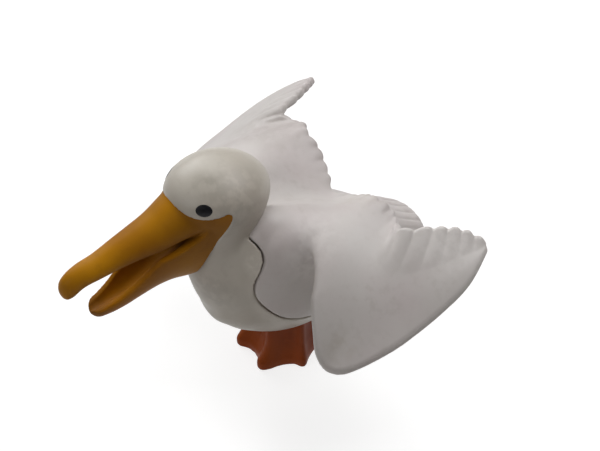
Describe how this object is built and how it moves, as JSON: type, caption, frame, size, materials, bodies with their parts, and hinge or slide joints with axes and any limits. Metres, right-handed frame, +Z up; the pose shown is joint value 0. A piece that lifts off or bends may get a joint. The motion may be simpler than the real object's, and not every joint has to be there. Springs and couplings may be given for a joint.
{
  "type": "toy pelican",
  "caption": "Small moulded plastic pelican toy, standing on webbed feet with its wings half open and its bill agape.",
  "frame": {"origin": "on the floor under the middle of the toy's length and width", "axes": "-Y towards the tip of the bill and +Y towards the tail, +X to the bird's left, +Z up"},
  "size_m": [0.0658, 0.072, 0.0471],
  "materials": {
    "head": "satin ivory moulding",
    "neck": "satin ivory moulding",
    "breast": "satin ivory moulding",
    "back": "satin white moulding",
    "tail": "satin white moulding, faint feather grooves",
    "wing_left": "satin white moulding, feather ridges",
    "wing_right": "satin white moulding, feather ridges",
    "bill_upper": "semi-gloss ochre",
    "bill_lower": "semi-gloss ochre",
    "leg_left": "satin orange moulding",
    "leg_right": "satin orange moulding",
    "eye_left": "printed black dot",
    "eye_right": "printed black dot"
  },
  "bodies": {
    "root": {"head": "head", "neck": "neck", "breast": "breast", "back": "back", "tail": "tail", "wing_left": "wing_left", "wing_right": "wing_right", "bill_upper": "bill_upper", "bill_lower": "bill_lower", "leg_left": "leg_left", "leg_right": "leg_right", "eye_left": "eye_left", "eye_right": "eye_right"}
  },
  "joints": []
}
